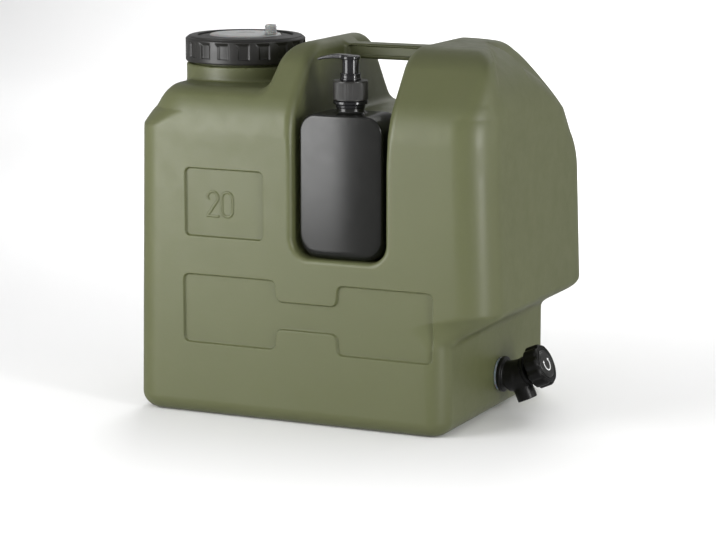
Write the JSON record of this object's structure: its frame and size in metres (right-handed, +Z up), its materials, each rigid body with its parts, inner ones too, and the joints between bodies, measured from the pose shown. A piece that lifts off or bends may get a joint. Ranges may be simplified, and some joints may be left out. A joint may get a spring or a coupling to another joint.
{
  "type": "water container",
  "caption": "Upright water can with a screw-capped neck, a carrying bar between two humps, a front pocket holding a soap pump bottle, and a screw tap under an overhang.",
  "frame": {"origin": "middle of the flat base of the tank, on the surface it stands on", "axes": "+Z up, +X towards the end with the tap, -Y towards the front with the soap bottle"},
  "size_m": [0.3613, 0.248, 0.3461],
  "materials": {
    "tank": "satin olive green polyethylene with a fine moulded grain",
    "black_cap": "satin black plastic",
    "pale_plastic": "translucent white plastic",
    "rubber": "dull dark rubber",
    "silicone": "translucent silicone",
    "black_tap": "satin black plastic",
    "bottle": "satin dark grey plastic",
    "black_pump": "gloss black plastic",
    "steel": "bright steel"
  },
  "bodies": {
    "tank": {"tank_body": "tank", "tap_body": "black_tap", "tap_outer_washer": "silicone", "tap_inner_washer": "rubber", "tap_lock_nut": "black_tap", "tap_bonnet": "black_tap", "stem_o_ring": "rubber"},
    "cap_centre": {"cap_insert_disc": "pale_plastic", "cap_gasket": "rubber", "nozzle_washer": "rubber", "pour_nozzle": "pale_plastic"},
    "cap_screw": {"cap_ring": "black_cap"},
    "valve_head": {"valve_seal": "rubber"},
    "spindle": {"valve_stem": "black_tap", "tap_knob": "black_tap", "knob_screw": "steel", "knob_cover": "black_tap"},
    "bottle": {"soap_bottle": "bottle"},
    "pump": {"pump_gasket": "pale_plastic", "pump_housing": "pale_plastic", "pump_chaplet": "black_pump", "dip_tube": "pale_plastic", "pump_spring": "steel"},
    "collar": {"pump_collar": "black_pump"},
    "ball": {"pump_ball": "steel"},
    "plunger": {"pump_stem": "pale_plastic", "pump_piston": "pale_plastic"},
    "head": {"pump_head": "black_pump"}
  },
  "joints": [
    {"name": "cap_lift", "type": "slide", "parent": "tank", "child": "cap_centre", "axis": [0, 0, 1], "range_m": [0, 0.009]},
    {"name": "cap_turn", "type": "hinge", "parent": "cap_centre", "child": "cap_screw", "pos_m": [-0.09, -0.02, 0.3113], "axis": [0, 0, 1], "range_deg": [0, 541]},
    {"name": "valve_lift", "type": "slide", "parent": "tank", "child": "valve_head", "axis": [0.9135, 0, 0.4067], "range_m": [0, 0.00375]},
    {"name": "knob_turn", "type": "hinge", "parent": "valve_head", "child": "spindle", "pos_m": [0.172, 0.005, 0.036], "axis": [0.9135, 0, 0.4067], "range_deg": [0, 541]},
    {"name": "bottle_slide", "type": "slide", "parent": "tank", "child": "bottle", "axis": [0, -1, 0], "range_m": [0, 0.07]},
    {"name": "pump_lift", "type": "slide", "parent": "bottle", "child": "pump", "axis": [0, 0, 1], "range_m": [0, 0.00525]},
    {"name": "collar_turn", "type": "hinge", "parent": "pump", "child": "collar", "pos_m": [0.0518, -0.09595, 0.3], "axis": [0, 0, 1], "range_deg": [0, 451]},
    {"name": "ball_lift", "type": "slide", "parent": "pump", "child": "ball", "axis": [0, 0, 1], "range_m": [0, 0.0012]},
    {"name": "pump_press", "type": "slide", "parent": "pump", "child": "plunger", "axis": [0, 0, -1], "range_m": [0, 0.011], "stiffness_N_per_m": 300, "springref_m": -0.01, "deforming": ["pump_spring"]},
    {"name": "head_turn", "type": "hinge", "parent": "plunger", "child": "head", "pos_m": [0.0518, -0.09595, 0.3], "axis": [0, 0, 1], "continuous": true}
  ],
  "couplings": [
    {"joint": "cap_turn", "follows": "cap_lift", "rad_per_m": 1047.2},
    {"joint": "knob_turn", "follows": "valve_lift", "rad_per_m": 2513.3},
    {"joint": "collar_turn", "follows": "pump_lift", "rad_per_m": 1496}
  ]
}
